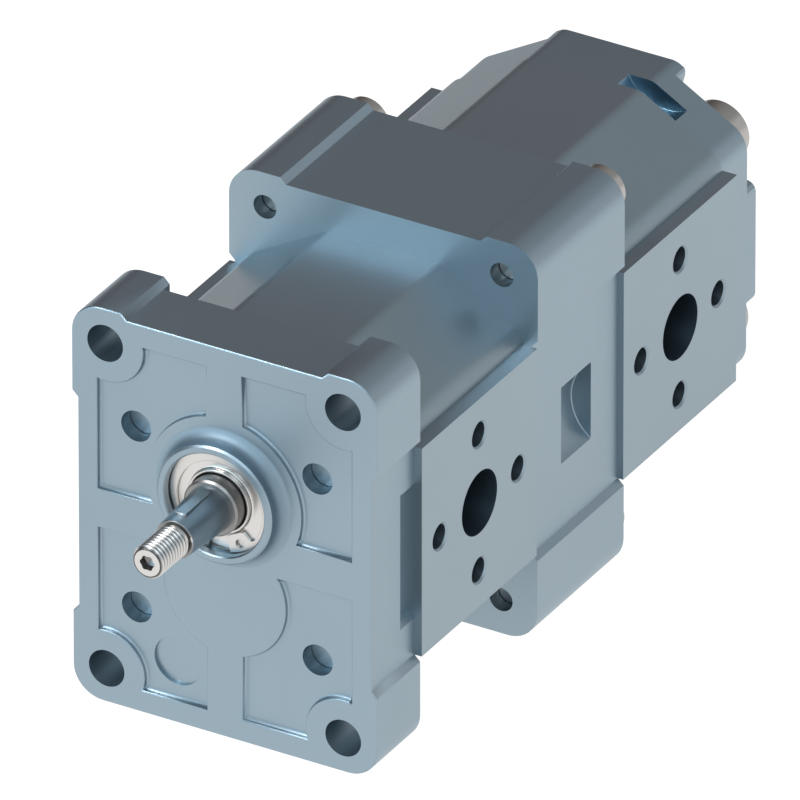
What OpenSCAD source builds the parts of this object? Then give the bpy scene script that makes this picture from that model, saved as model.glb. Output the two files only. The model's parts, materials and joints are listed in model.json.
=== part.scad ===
// Tandem external gear pump: two pump sections on one drive line.
// Millimetres. The origin is on the drive shaft's axis, in the mounting face.
// X points right, Y runs back along the pump and Z points up.

/* [Gears] */
// Distance between the two gear axes
gear_centres = 21.5; // [20:0.1:23]
// Number of teeth on each gear
gear_teeth = 12; // [10:2:14]
// Pressure angle of the teeth
pressure_angle = 25; // [23:1:27]
// Width of the front section's gears
front_gear_w = 17; // [12:0.5:22]
// Width of the rear section's gears
rear_gear_w = 17; // [12:0.5:22]
// Play between meshing teeth at the pitch circle
backlash = 0.2; // [0.1:0.05:0.3]
// Diameter of every gear journal
journal_d = 12; // [11:0.2:13]

/* [Castings] */
// Thickness of each mounting flange
flange_t = 16.4; // [15.5:0.1:20]
// Length of each gear housing
housing_l = 44.05; // [42:0.05:56]
// Thickness of the intermediate cover
intermediate_t = 17.05; // [16.5:0.05:20]
// Thickness of the rear cover at its corners
rear_cover_t = 10.55; // [9:0.05:14]
// Height of the cross that stands on the rear cover
cross_h = 3.5; // [2:0.1:5]
// Width of the cross's arms
cross_w = 27.7; // [24:0.1:30]
// Height of a flange above the drive axis
flange_top = 33.7; // [33:0.1:36]
// Depth of a flange below the drive axis
flange_bottom = 53.2; // [52.5:0.1:56]
// Corner radius of a flange
flange_corner_r = 6.5; // [4:0.1:7.5]
// How far the flange's edge lies back between its lobes
lobe_step = 1.3; // [0.6:0.1:1.6]
// Width across the port faces, which the flanges' lobes follow
port_face_w = 68.1; // [67.5:0.1:71]
// How far a port face stands out from its housing
port_face_step = 3.05; // [2:0.05:3.5]
// Height of a port face
port_face_h = 45.9; // [42:0.1:47]
// Depth of the pockets in the mounting face
relief_depth = 1; // [0.5:0.1:1.4]

/* [Pilot and shaft end] */
// Diameter of the centring pilot
pilot_d = 25.4; // [25:0.1:26]
// Height of the centring pilot
pilot_h = 4; // [3.6:0.1:5]
// Wall between the pilot's rim and the bore that holds the shaft seal
pilot_wall = 1.7; // [1.6:0.05:2.2]
// Large diameter of the shaft's taper
taper_d = 9.85; // [9:0.05:10.5]
// Length of the shaft's taper
taper_l = 13.4; // [13:0.1:16]
// Diameter of the shaft's thread
thread_d = 7; // [6.5:0.1:7.4]
// Length of the shaft's threaded end
thread_l = 10.2; // [8:0.1:12]
// Width of the shaft key
key_w = 2.4; // [2:0.1:3]

/* [Ports and fasteners] */
// Diameter of the ports
port_d = 13.5; // [10:0.1:14]
// Diameter of the circle of port screws
port_screw_circle = 30; // [29:0.1:31]
// Tapping diameter of the port screw holes
port_screw_d = 5.1; // [4.5:0.1:5.4]
// Spacing of the mounting holes across the flange
mount_spacing_x = 52.4; // [51.6:0.1:53]
// Spacing of the mounting holes up the flange
mount_spacing_z = 71.9; // [71:0.1:72.6]
// Diameter of the mounting holes
mount_hole_d = 7.9; // [6.6:0.1:8.4]
// Spacing of the tie bolts, both ways
tie_spacing = 40; // [39.6:0.1:40.6]
// Diameter of the tie bolts
tie_d = 8; // [7.6:0.1:8.2]
// Length of the tie bolts under the head
tie_l = 65; // [62:0.5:68]
// Diameter of the screws that join the two middle flanges
flange_screw_d = 6; // [5.6:0.1:6.2]
// Length of the flange screws under the head
flange_screw_l = 30; // [28:0.5:31]

/* [Hidden] */
$fn = 64;
eps = 0.01;

// Clearances and thin walls
run_gap = 0.05;
side_gap = 0.04;
bush_gap = 0.02;
liner_t = 1.0;
edge = 0.4;
screw_end_gap = 0.15;
screw_end_bevel = 0.6;

// Widths that follow the port faces
front_flange_w = port_face_w - 0.7;
middle_flange_w = port_face_w + 0.3;
housing_w = port_face_w - 2 * port_face_step;
rear_cover_w = housing_w - 1.4;

// Stations along the pump
y_housing = flange_t;
y_middle = y_housing + housing_l;
y_rear_flange = y_middle + intermediate_t;
y_rear_housing = y_rear_flange + flange_t;
y_rear_cover = y_rear_housing + housing_l;
y_back = y_rear_cover + rear_cover_t;

// Gears
gear_module = gear_centres / gear_teeth;
pitch_r = gear_centres / 2;
base_r = pitch_r * cos(pressure_angle);
tip_r = pitch_r + gear_module;
root_r = pitch_r - 1.25 * gear_module;
bore_r = tip_r + 0.08;
axes_z = [0, -gear_centres];
mid_z = -gear_centres / 2;

// Places of the fasteners, above and below the middle of the two axes
tie_places = [for (x = [-1, 1], z = [-1, 1]) [x * tie_spacing / 2, mid_z + z * tie_spacing / 2]];
mount_mid_z = -9.75;
mount_places = [for (x = [-1, 1], z = [-1, 1])
  [x * mount_spacing_x / 2, mount_mid_z + z * mount_spacing_z / 2]];
tie_head_d = 13;
tie_head_h = 8;
tie_tap_d = tie_d - 1.35;
tie_hole_d = tie_d + 0.6;
flange_head_d = 10;
flange_head_h = 6;
flange_tap_d = flange_screw_d - 0.9;
tie_seat_depth = 8;
y_front_seat = y_rear_flange - tie_seat_depth;

// Shaft seal and its ring, seen from the flange's face
seal_bore_d = pilot_d - 2 * pilot_wall;
seal_floor = 5.6;
ring_depth = 1.7;
ring_t = 1;
ring_play = 0.05;
ring_y = -pilot_h + ring_depth;
ring_groove_depth = 0.5;
ring_groove_r = seal_bore_d / 2 + ring_groove_depth;
ring_seal_gap = 0.8;
seal_front = ring_y + ring_t + ring_seal_gap;
seal_wall = 1;
collar_gap = 0.25;
collar_t = 0.55;
collar_in_r = journal_d / 2 + collar_gap;
collar_out_r = collar_in_r + collar_t;
collar_h = 1;
lip_depth = 3.2;
lip_t = 1.5;
seal_lip_y = seal_front + lip_depth;
lip_back_r = journal_d / 2 + lip_t;

// Shaft end
journal_out = 1.4;
y_taper = -journal_out - pilot_h;
y_thread = y_taper - taper_l;
y_shaft_end = y_thread - thread_l;
taper_small_d = taper_d - taper_l / 8;
key_disc_r = 5;
key_h = 3.7;
key_top_z = taper_d / 2 - 0.1;
key_out = 6.35;
key_centre_y = y_taper - key_out;
thread_relief_l = 0.8;
thread_relief = 0.35;
thread_bevel = 0.5;
centre_hole_r = 1.65;
centre_hole_l = 2.5;

// Drive line between the two sections
coupling_d = 18;
coupling_bore_d = coupling_d + 1;
wall_behind = 2.6;
tang_w = 6;
tang_gap = 0.15;
pilot_seat_y = y_rear_flange - pilot_h;
y_coupling = y_middle + wall_behind + 0.2;
coupling_l = pilot_seat_y - 0.4 - y_coupling;
coupling_web = 1.2;
tang_l = (coupling_l - coupling_web) / 2;

// Seals between the castings
seal_in_r = bore_r + 1.3;
seal_out_r = seal_in_r + 1.7;
seal_depth = 1.5;
balance_in_r = journal_d / 2 + 2.6;
balance_out_r = balance_in_r + 1.5;
balance_depth = 1.6;
balance_open_x = 4;
dowel_d = 4;
dowel_half = 4;
dowel_x = housing_w / 2 - 4.5;

// Outlines with rounded corners: each corner is [x, y, radius]
function unit(v) = v / norm(v);
function arc_count(r) = max(4, round(r * 1.6));
function rounded_corner(a, p, b, r) =
  let (
    u = unit(a - p), v = unit(b - p),
    half = acos(u * v) / 2,
    c = p + unit(u + v) * r / sin(half),
    s = p + u * r / tan(half) - c,
    e = p + v * r / tan(half) - c,
    turn = atan2(s.x * e.y - s.y * e.x, s * e),
    n = arc_count(r)
  ) [for (i = [0:n]) c + [
      s.x * cos(turn * i / n) - s.y * sin(turn * i / n),
      s.x * sin(turn * i / n) + s.y * cos(turn * i / n)]];
function xy(p) = [p.x, p.y];
function rounded(corners) =
  let (n = len(corners))
  [for (i = [0:n - 1])
    let (p = corners[i], a = corners[(i + n - 1) % n], b = corners[(i + 1) % n])
    each (p.z == 0 ? [xy(p)] : rounded_corner(xy(a), xy(p), xy(b), p.z))];
// The right half of an outline, from the top down, and its mirror image
function both_halves(right) =
  concat(right, [for (i = [len(right) - 1:-1:0]) [-right[i].x, right[i].y, right[i].z]]);

// Extrudes an outline drawn in X and Z from y0 to y1
module along(y0, y1) {
  translate([0, y1, 0]) rotate([90, 0, 0]) linear_extrude(height = y1 - y0) children();
}

// A cylinder along Y from y0 to y1, at x and z
module rod(y0, y1, r, x = 0, z = 0) {
  translate([x, y0, z]) rotate([-90, 0, 0]) cylinder(h = y1 - y0, r = r);
}

// A cone along Y from radius r0 at y0 to radius r1 at y1
module taper(y0, y1, r0, r1, x = 0, z = 0) {
  translate([x, y0, z]) rotate([-90, 0, 0]) cylinder(h = y1 - y0, r1 = r0, r2 = r1);
}

// A tapped hole: the tapping drill's diameter, and the thread's own where a screw fills it
module tapped_hole(y0, y1, screw_end, tap_d, screw_d, place) {
  rod(y0 - 1, y1, tap_d / 2, place.x, place.y);
  rod(screw_end - screw_end_gap, y1, screw_d / 2 + bush_gap, place.x, place.y);
}

// A turned ring about the Y axis from y0 to y1
module tube(y0, y1, r_out, r_in, x = 0, z = 0) {
  difference() {
    rod(y0, y1, r_out, x, z);
    rod(y0 - 1, y1 + 1, r_in, x, z);
  }
}

// Flange shapes
side_top_z = 12.5;
side_bottom_z = -33.6;
top_flat_half = 21.5;
module flange_outline(w) {
  x = w / 2;
  s = lobe_step;
  top = flange_top;
  polygon(rounded(both_halves([
    [top_flat_half, top - s, 0],
    [top_flat_half + s, top, 0],
    [x, top, flange_corner_r],
    [x, side_top_z + s, 0],
    [x - s, side_top_z, 0],
    [x - s, side_bottom_z, 0],
    [x, side_bottom_z - s, 0],
    [x, -flange_bottom, flange_corner_r]
  ])));
}

// The housing's outline, with a flat top and bottom and sloping shoulders
housing_top = 24.8;
shoulder_x = 12.5;
shoulder_slope = 30;
module housing_outline(w = housing_w, top = housing_top) {
  x = w / 2;
  drop = (x - shoulder_x) * tan(shoulder_slope);
  low = 2 * mid_z - top;
  polygon(rounded(both_halves([
    [shoulder_x, top, 4],
    [x, top - drop, 6],
    [x, low + drop, 6],
    [shoulder_x, low, 4]
  ])));
}

// The twin chamber that both gears and the bearing blocks lie in
module chamber_outline(r) {
  for (z = axes_z) translate([0, z]) circle(r = r);
}

// The sealing groove round the twin chamber
module seal_outline(inner, outer) {
  difference() {
    union() {
      chamber_outline(outer);
      translate([-outer, -gear_centres]) square([2 * outer, gear_centres]);
    }
    chamber_outline(inner);
    translate([-inner, -gear_centres]) square([2 * inner, gear_centres]);
  }
}

// The open seal on a bearing block, closed towards the pressure side
module balance_outline(inner, outer) {
  difference() {
    chamber_outline(outer);
    chamber_outline(inner);
    translate([-2 * outer, -2 * gear_centres])
      square([2 * outer - balance_open_x, 3 * gear_centres]);
  }
}

// Mounting face relief: four pockets round the pads that stay standing
pocket_in_x = 4;
pocket_out_x = 28;
pocket_z = [[-6.25, 27.4], [-48.3, -14.9]];
pad_mount_r = 8.4;
pad_shaft_r = 17;
pad_idler_r = 13.5;
module relief_outline() {
  difference() {
    for (side = [-1, 1], z = pocket_z)
      translate([side > 0 ? pocket_in_x : -pocket_out_x, z[0]])
        square([pocket_out_x - pocket_in_x, z[1] - z[0]]);
    for (p = mount_places) translate(p) circle(r = pad_mount_r);
    circle(r = pad_shaft_r);
    translate([0, -gear_centres]) circle(r = pad_idler_r);
  }
}

// The centring pilot, with a rounded root and a bevelled rim
front_root_r = 2.4;
rear_root_r = 1.6;
module pilot(y, root_r) {
  r = pilot_d / 2;
  rod(y - pilot_h + edge, y + 1, r);
  taper(y - pilot_h, y - pilot_h + edge, r - edge, r);
  translate([0, y, 0]) rotate([90, 0, 0]) rotate_extrude() difference() {
    translate([r - eps, -eps]) square([root_r + eps, root_r + eps]);
    translate([r + root_r, root_r]) circle(r = root_r);
  }
}

// Bores of a flange for the seal, its ring and the shaft behind it
module shaft_bores(y) {
  rod(y - pilot_h - 1, y + seal_floor, seal_bore_d / 2);
  taper(y - pilot_h - eps, y - pilot_h + 0.25, seal_bore_d / 2 + 0.25, seal_bore_d / 2);
  rod(y + ring_y - ring_play, y + ring_y + ring_t + ring_play, ring_groove_r);
  rod(y, y + flange_t + 1, journal_d / 2 + 0.5);
}

// A flange with its pilot, pockets and holes, mounting face at y
pocket_in_y = 5.4;
module flange_body(y, w, bolt_end, root_r) {
  difference() {
    union() {
      along(y, y + flange_t) flange_outline(w);
      pilot(y, root_r);
    }
    difference() {
      along(y - 1, y + relief_depth) relief_outline();
      rod(y - 2, y + 2, pilot_d / 2 + root_r);
    }
    shaft_bores(y);
    for (p = tie_places)
      tapped_hole(y, y + flange_t + 1, bolt_end, tie_tap_d, tie_d, p);
    for (p = mount_places) rod(y - 1, y + flange_t + 1, mount_hole_d / 2, p.x, p.y);
    for (x = [-1, 1])
      rod(y + flange_t - dowel_half, y + flange_t + 1, dowel_d / 2, x * dowel_x, mid_z);
  }
}

// Shallow cuts at the back of the front cover
top_drop_y = 2.4;
top_drop_z = 2.35;
side_cut = 1.9;
side_cut_z = [4.1, -25.6];
round_recess_r = 5.25;
round_recess_place = [-10.9, -40];

module front_cover() {
  x = front_flange_w / 2 - lobe_step;
  color([0.62, 0.74, 0.8]) difference() {
    flange_body(0, front_flange_w, y_front_seat - tie_l, front_root_r);
    translate([-top_flat_half, flange_t - top_drop_y, flange_top - lobe_step - top_drop_z])
      cube([2 * top_flat_half, top_drop_y + 1, 2 * top_drop_z]);
    for (side = [-1, 1]) mirror([side < 0 ? 1 : 0, 0, 0])
      along(flange_t - pocket_in_y, flange_t + 1) polygon([
        [x + 1, side_cut_z[0] + 1],
        [x - side_cut, side_cut_z[0] - side_cut],
        [x - side_cut, side_cut_z[1] + side_cut],
        [x + 1, side_cut_z[1] - 1]
      ]);
    rod(-1, relief_depth + 0.3, round_recess_r, round_recess_place.x, round_recess_place.y);
  }
}

// A gear housing with its twin chamber, port faces, ports and holes
port_reach = 5;
port_bore_depth = 16;
passage_d = port_d - 1;
port_screw_depth = 9.5;
port_screw_bevel = 0.4;
module housing(y0) {
  y1 = y0 + housing_l;
  mid_y = (y0 + y1) / 2;
  difference() {
    union() {
      along(y0, y1) housing_outline();
      translate([-port_face_w / 2, y0, mid_z - port_face_h / 2])
        cube([port_face_w, housing_l, port_face_h]);
    }
    along(y0 - 1, y1 + 1) chamber_outline(bore_r);
    for (y = [y0 - 1, y1 - seal_depth])
      along(y, y + seal_depth + 1) seal_outline(seal_in_r, seal_out_r);
    for (p = tie_places) rod(y0 - 1, y1 + 1, tie_hole_d / 2, p.x, p.y);
    for (y = [y0, y1], x = [-1, 1])
      rod(y - dowel_half, y + dowel_half, dowel_d / 2, x * dowel_x, mid_z);
    for (side = [-1, 1]) translate([side * port_face_w / 2, mid_y, mid_z])
      rotate([0, side * 90, 0]) port_cuts();
  }
}

// A port and its four screw holes, cut down from the port face at z = 0
module port_cuts() {
  depth = port_face_w / 2 - port_reach;
  bevel = port_screw_bevel;
  translate([0, 0, -port_bore_depth]) cylinder(h = port_bore_depth + 1, r = port_d / 2);
  translate([0, 0, -depth]) cylinder(h = depth, r = passage_d / 2);
  for (turn = [0:90:270]) rotate([0, 0, turn]) translate([port_screw_circle / 2, 0, 0]) {
    translate([0, 0, -port_screw_depth]) cylinder(h = port_screw_depth + 1, r = port_screw_d / 2);
    translate([0, 0, -bevel])
      cylinder(h = bevel + eps, r1 = port_screw_d / 2, r2 = port_screw_d / 2 + bevel + eps);
  }
}

module front_housing() {
  color([0.66, 0.71, 0.74]) housing(y_housing);
}

module rear_housing() {
  color([0.66, 0.71, 0.74]) housing(y_rear_housing);
}

// The scoop in each side of the two middle flanges
window_half_l = 5.75;
window_z = -10.9;
window_r = 10.4;
window_depth = 4.4;
module windows() {
  x = middle_flange_w / 2 - lobe_step - window_depth + window_r;
  for (side = [-1, 1])
    rod(y_rear_flange - window_half_l, y_rear_flange + window_half_l, window_r, side * x, window_z);
}

root_room = rear_root_r + edge;
module intermediate_cover() {
  color([0.62, 0.74, 0.8]) difference() {
    along(y_middle, y_rear_flange) flange_outline(middle_flange_w);
    windows();
    rod(y_middle - 1, y_rear_flange + 1, journal_d / 2 + 0.5);
    rod(y_middle + wall_behind, y_rear_flange + 1, coupling_bore_d / 2);
    rod(pilot_seat_y - 0.1, y_rear_flange + 1, pilot_d / 2 + 0.02);
    taper(y_rear_flange - root_room, y_rear_flange + eps, pilot_d / 2, pilot_d / 2 + root_room);
    for (p = tie_places) {
      rod(y_middle - 1, y_rear_flange + 1, tie_hole_d / 2, p.x, p.y);
      rod(y_front_seat, y_rear_flange + 1, tie_head_d / 2 + 0.25, p.x, p.y);
    }
    for (p = mount_places) tapped_hole(y_middle, y_rear_flange + 1,
      y_rear_housing - flange_screw_l, flange_tap_d, flange_screw_d, p);
    for (x = [-1, 1])
      rod(y_middle - 1, y_middle + dowel_half, dowel_d / 2, x * dowel_x, mid_z);
  }
}

// Groove for the sealing ring round the rear section's pilot
pilot_seal_t = 1.2;
pilot_seal_depth = 0.7;
pilot_seal_in = 0.8;
module rear_flange() {
  color([0.62, 0.74, 0.8]) difference() {
    flange_body(y_rear_flange, middle_flange_w, y_back - tie_l, rear_root_r);
    windows();
    tube(pilot_seat_y + pilot_seal_in, pilot_seat_y + pilot_seal_in + pilot_seal_t,
      pilot_d, pilot_d / 2 - pilot_seal_depth);
  }
}

rear_cover_top = housing_top - 0.3;
notch_r = 9.5;
notch_place = [15.8, 28.5];
notch_l = 4.85;
cross_corner_r = 2;
cross_inner_r = 5;
cross_flare = 0.26;
module rear_cover() {
  side = rear_cover_w / 2;
  reach = rear_cover_top - mid_z;
  side_half = cross_w / 2;
  top_half = side_half + cross_flare * (reach - side);
  inner = (side_half - cross_flare * side) / (1 - cross_flare);
  color([0.64, 0.72, 0.76]) difference() {
    union() {
      along(y_rear_cover, y_back) housing_outline(rear_cover_w, rear_cover_top);
      intersection() {
        along(y_back - 1, y_back + cross_h) housing_outline(rear_cover_w, rear_cover_top);
        translate([0, 0, mid_z]) along(y_back - 1, y_back + cross_h) polygon(rounded(both_halves([
          [top_half, reach, cross_corner_r], [inner, inner, cross_inner_r],
          [side, side_half, cross_corner_r], [side, -side_half, cross_corner_r],
          [inner, -inner, cross_inner_r], [top_half, -reach, cross_corner_r]
        ])));
      }
    }
    rod(y_rear_cover - 1, y_rear_cover + notch_l, notch_r, notch_place.x, notch_place.y);
    for (p = tie_places) {
      rod(y_rear_cover - 1, y_back + 1, tie_hole_d / 2, p.x, p.y);
      rod(y_back, y_back + cross_h + 1, tie_head_d / 2 + 0.3, p.x, p.y);
    }
    for (x = [-1, 1])
      rod(y_rear_cover - 1, y_rear_cover + dowel_half, dowel_d / 2, x * dowel_x, mid_z);
    rod(y_rear_cover - 1, y_rear_cover + 1.2, journal_d / 2 - 2);
    rod(y_rear_cover - 1, y_rear_cover + 1.2, journal_d / 2 - 2, 0, -gear_centres);
  }
}

// Shaft seal: a pressed case, a lip that wipes the journal and a spring round the lip
seal_len = seal_floor - seal_front - 0.4;
module seal_case() {
  y1 = seal_front + seal_len;
  color([0.82, 0.82, 0.8]) union() {
    tube(seal_front, y1, seal_bore_d / 2, seal_bore_d / 2 - seal_wall);
    tube(seal_front, seal_front + seal_wall, seal_bore_d / 2 - seal_wall / 2, collar_in_r);
    tube(seal_front - collar_h, seal_front + seal_wall / 2, collar_out_r, collar_in_r);
  }
}

// The lip's section, as radius and distance behind the seal's front face: an edge that keeps
// dust out, a web behind the case's face and an edge that wipes the journal under the spring
web_t = 0.8;
lip_relief = 0.5;
lip_half = 1;
module seal_lip() {
  lip_r = journal_d / 2 + run_gap;
  case_r = seal_bore_d / 2 - seal_wall;
  y_edge = seal_lip_y - seal_front;
  y_web = seal_wall + web_t;
  color([0.16, 0.16, 0.17]) translate([0, seal_front, 0]) rotate([-90, 0, 0]) rotate_extrude()
    polygon([
      [lip_r, seal_wall], [case_r, seal_wall], [case_r, y_web],
      [lip_back_r + lip_relief, y_web], [lip_back_r, y_edge - lip_half / 2],
      [lip_back_r, y_edge + lip_half / 2], [lip_r + lip_relief, y_edge + lip_half],
      [lip_r, y_edge], [lip_r + lip_relief, y_edge - lip_half], [lip_r + lip_relief, y_web]
    ]);
}

spring_wire_r = 0.45;
module seal_spring() {
  color([0.75, 0.75, 0.75]) translate([0, seal_lip_y, 0]) rotate([-90, 0, 0]) rotate_extrude()
    translate([lip_back_r + spring_wire_r + bush_gap, 0]) circle(r = spring_wire_r);
}

// Internal ring that holds the seal, open at the bottom and widest at the top, with a plier
// hole in each lug. Turns are measured from the middle of the opening.
ring_w = 2.05;
ring_in_r = ring_groove_r - ring_w;
ring_in_shift = 1;
ring_gap_turn = 12.5;
lug_gap = 0.6;
lug_in_r = collar_out_r + lug_gap;
lug_end_turn = 44.5;
lug_corner_r = 0.8;
lug_hole_r = 0.9;
lug_hole_turn = 29;
lug_hole_in = 0.1;
lug_hole_place_r = (lug_in_r + ring_groove_r) / 2 - lug_hole_in;
arc_step = 6;
function from_gap(r, turn, shift = 0) = [r * sin(turn), -shift - r * cos(turn)];
function arc(r, from, to, shift = 0) =
  let (n = ceil(abs(to - from) / arc_step))
  [for (i = [0:n]) [each from_gap(r, from + (to - from) * i / n, shift), 0]];
module retaining_ring() {
  out_r = ring_groove_r - ring_play;
  foot_turn = lug_end_turn + asin(ring_in_shift * sin(lug_end_turn) / ring_in_r);
  inner_turn = foot_turn + arc_step;
  color([0.85, 0.84, 0.82]) along(ring_y, ring_y + ring_t) difference() {
    polygon(rounded(concat(
      arc(out_r, ring_gap_turn, 360 - ring_gap_turn),
      [for (turn = [-ring_gap_turn, -lug_end_turn])
        [each from_gap(lug_in_r, turn), turn == -lug_end_turn ? lug_corner_r : 0]],
      [[each from_gap(ring_in_r, -foot_turn, ring_in_shift), lug_corner_r]],
      arc(ring_in_r, 360 - inner_turn, inner_turn, ring_in_shift),
      [[each from_gap(ring_in_r, foot_turn, ring_in_shift), lug_corner_r]],
      [for (turn = [lug_end_turn, ring_gap_turn])
        [each from_gap(lug_in_r, turn), turn == lug_end_turn ? lug_corner_r : 0]]
    )));
    for (side = [-1, 1])
      translate(from_gap(lug_hole_place_r, side * lug_hole_turn)) circle(r = lug_hole_r);
  }
}

// Involute gear teeth
function involute_angle(r) =
  let (t = sqrt(max(0, pow(r / base_r, 2) - 1))) t * 180 / PI - atan(t);
function tooth_half(r) =
  90 / gear_teeth - backlash / 4 / pitch_r * 180 / PI
  + involute_angle(pitch_r) - involute_angle(max(r, base_r));
function polar(r, a) = [r * cos(a), r * sin(a)];
flank_start_r = max(base_r, root_r + 0.3);
flank_radii = [for (i = [0:5]) flank_start_r + (tip_r - flank_start_r) * i / 5];
function tooth(a) = concat(
  [polar(root_r, a - tooth_half(base_r) - 1.5)],
  [for (r = flank_radii) polar(r, a - tooth_half(r))],
  [polar(tip_r, a)],
  [for (i = [5:-1:0]) polar(flank_radii[i], a + tooth_half(flank_radii[i]))],
  [polar(root_r, a + tooth_half(base_r) + 1.5)]
);
module teeth(y0, width, phase, z = 0) {
  translate([0, 0, z]) along(y0, y0 + width)
    polygon([for (i = [0:gear_teeth - 1]) each tooth(phase + i * 360 / gear_teeth)]);
}

// The drive gear has a tooth towards the idler, which has a space there
drive_phase = -90;
idler_phase = 90 + 180 / gear_teeth;

// Where each gear and its bearing blocks lie in a housing that starts at y0
function gear_y(y0, width) = y0 + (housing_l - width) / 2;

// A journal with a bevelled end at y1
module journal(y0, y1, z = 0, r = journal_d / 2) {
  rod(y0, y1 - edge, r, 0, z);
  taper(y1 - edge, y1, r, r - edge, 0, z);
}

// A tang across the end of a shaft, from y0 to y1, turned about the axis
module tang(y0, y1, turn) {
  intersection() {
    rod(y0, y1, journal_d / 2);
    translate([0, y0 - 1, 0]) rotate([0, turn, 0])
      translate([-tang_w / 2, 0, -journal_d]) cube([tang_w, y1 - y0 + 2, 2 * journal_d]);
  }
}

module key_disc(grow) {
  translate([-(key_w / 2 + grow), key_centre_y, key_top_z - key_h + key_disc_r]) rotate([0, 90, 0])
    cylinder(h = key_w + 2 * grow, r = key_disc_r + grow);
}

module drive_shaft() {
  r = journal_d / 2;
  y_gear = gear_y(y_housing, front_gear_w);
  y_tang = y_middle + wall_behind;
  thread_r = thread_d / 2;
  color([0.8, 0.79, 0.77]) difference() {
    union() {
      teeth(y_gear, front_gear_w, drive_phase);
      rod(y_taper + edge, y_tang, r);
      taper(y_taper, y_taper + edge, r - edge, r);
      taper(y_thread, y_taper + edge, taper_small_d / 2, taper_d / 2);
      rod(y_thread - thread_relief_l - 1, y_thread + 1, thread_r - thread_relief);
      rod(y_shaft_end + thread_bevel, y_thread - thread_relief_l, thread_r);
      taper(y_shaft_end, y_shaft_end + thread_bevel, thread_r - thread_bevel, thread_r);
      tang(y_tang - 1, y_coupling + tang_l - 0.25, 0);
    }
    key_disc(0.02);
    rod(y_shaft_end - 1, y_shaft_end + centre_hole_l, centre_hole_r);
    taper(y_shaft_end + centre_hole_l - eps, y_shaft_end + centre_hole_l + centre_hole_r,
      centre_hole_r, eps);
  }
}

module shaft_key() {
  color([0.45, 0.46, 0.47]) intersection() {
    key_disc(0);
    translate([-key_w, key_centre_y - 2 * key_disc_r, key_top_z - 2 * key_h])
      cube([2 * key_w, 4 * key_disc_r, 2 * key_h]);
  }
}

// A gear whose two journals end inside the housing
module idler(y0, width) {
  y_gear = gear_y(y0, width);
  z = -gear_centres;
  teeth(y_gear, width, idler_phase, z);
  journal(y_gear + width - 1, y0 + housing_l - 0.3, z);
  mirror([0, 1, 0]) journal(-y_gear - 1, -y0 - 0.3, z);
}

module front_idler_gear() {
  color([0.72, 0.72, 0.72]) idler(y_housing, front_gear_w);
}

module rear_idler_gear() {
  color([0.72, 0.72, 0.72]) idler(y_rear_housing, rear_gear_w);
}

// Sleeve that joins the two shafts, with a slot in each end
module coupling() {
  y1 = y_coupling + coupling_l;
  color([0.6, 0.61, 0.62]) difference() {
    rod(y_coupling, y1, coupling_d / 2);
    for (end = [[y_coupling - 1, y_coupling + tang_l, 0], [y1 - tang_l, y1 + 1, 90]])
      intersection() {
        rod(end[0], end[1], journal_d / 2 + tang_gap);
        translate([0, end[0] - 1, 0]) rotate([0, end[2], 0])
          translate([-tang_w / 2 - tang_gap, 0, -journal_d])
            cube([tang_w + 2 * tang_gap, tang_l + 3, 2 * journal_d]);
      }
  }
}

module rear_drive_gear() {
  y_gear = gear_y(y_rear_housing, rear_gear_w);
  y_tang = y_coupling + coupling_l - tang_l + 0.25;
  color([0.72, 0.72, 0.72]) union() {
    teeth(y_gear, rear_gear_w, drive_phase);
    rod(pilot_seat_y - 0.1, y_gear + 1, journal_d / 2);
    tang(y_tang, pilot_seat_y + 1, 90);
    journal(y_gear + rear_gear_w - 1, y_rear_cover - 0.3);
  }
}

// A bearing block from its gear side to the cover it rests on
liner_in_r = journal_d / 2 + bush_gap;
liner_out_r = liner_in_r + liner_t;
module bearing_block(y_cover, y_gear_side) {
  y0 = min(y_cover, y_gear_side);
  y1 = max(y_cover, y_gear_side);
  back = y_cover < y_gear_side ? y_cover - 1 : y_cover - balance_depth;
  difference() {
    along(y0, y1) chamber_outline(bore_r - 0.03);
    for (z = axes_z) rod(y0 - 1, y1 + 1, liner_out_r, 0, z);
    along(back, back + balance_depth + 1) balance_outline(balance_in_r, balance_out_r);
  }
}

function block_front_end(y0, width) = gear_y(y0, width) - side_gap;
function block_rear_end(y0, width) = gear_y(y0, width) + width + side_gap;

module front_cover_bearing() {
  color([0.78, 0.76, 0.7]) bearing_block(y_housing, block_front_end(y_housing, front_gear_w));
}

module front_inner_bearing() {
  color([0.78, 0.76, 0.7]) bearing_block(y_middle, block_rear_end(y_housing, front_gear_w));
}

module rear_inner_bearing() {
  color([0.78, 0.76, 0.7])
    bearing_block(y_rear_housing, block_front_end(y_rear_housing, rear_gear_w));
}

module rear_cover_bearing() {
  color([0.78, 0.76, 0.7])
    bearing_block(y_rear_cover, block_rear_end(y_rear_housing, rear_gear_w));
}

// Where each bearing block starts and ends
block_spans = [
  [y_housing, block_front_end(y_housing, front_gear_w)],
  [block_rear_end(y_housing, front_gear_w), y_middle],
  [y_rear_housing, block_front_end(y_rear_housing, rear_gear_w)],
  [block_rear_end(y_rear_housing, rear_gear_w), y_rear_cover]
];

module bearing_liners() {
  color([0.7, 0.55, 0.35]) for (span = block_spans, z = axes_z)
    tube(span[0] + 0.2, span[1] - 0.2, liner_out_r, liner_in_r, 0, z);
}

module balance_seals() {
  thick = balance_depth - 0.1;
  color([0.2, 0.2, 0.2])
    for (y = [y_housing, y_middle - thick, y_rear_housing, y_rear_cover - thick])
      along(y, y + thick) balance_outline(balance_in_r + 0.05, balance_out_r - 0.05);
}

module housing_seals() {
  thick = seal_depth - 0.05;
  color([0.12, 0.12, 0.12])
    for (y = [y_housing, y_middle - thick, y_rear_housing, y_rear_cover - thick])
      along(y, y + thick) seal_outline(seal_in_r + 0.05, seal_out_r - 0.05);
}

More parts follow.
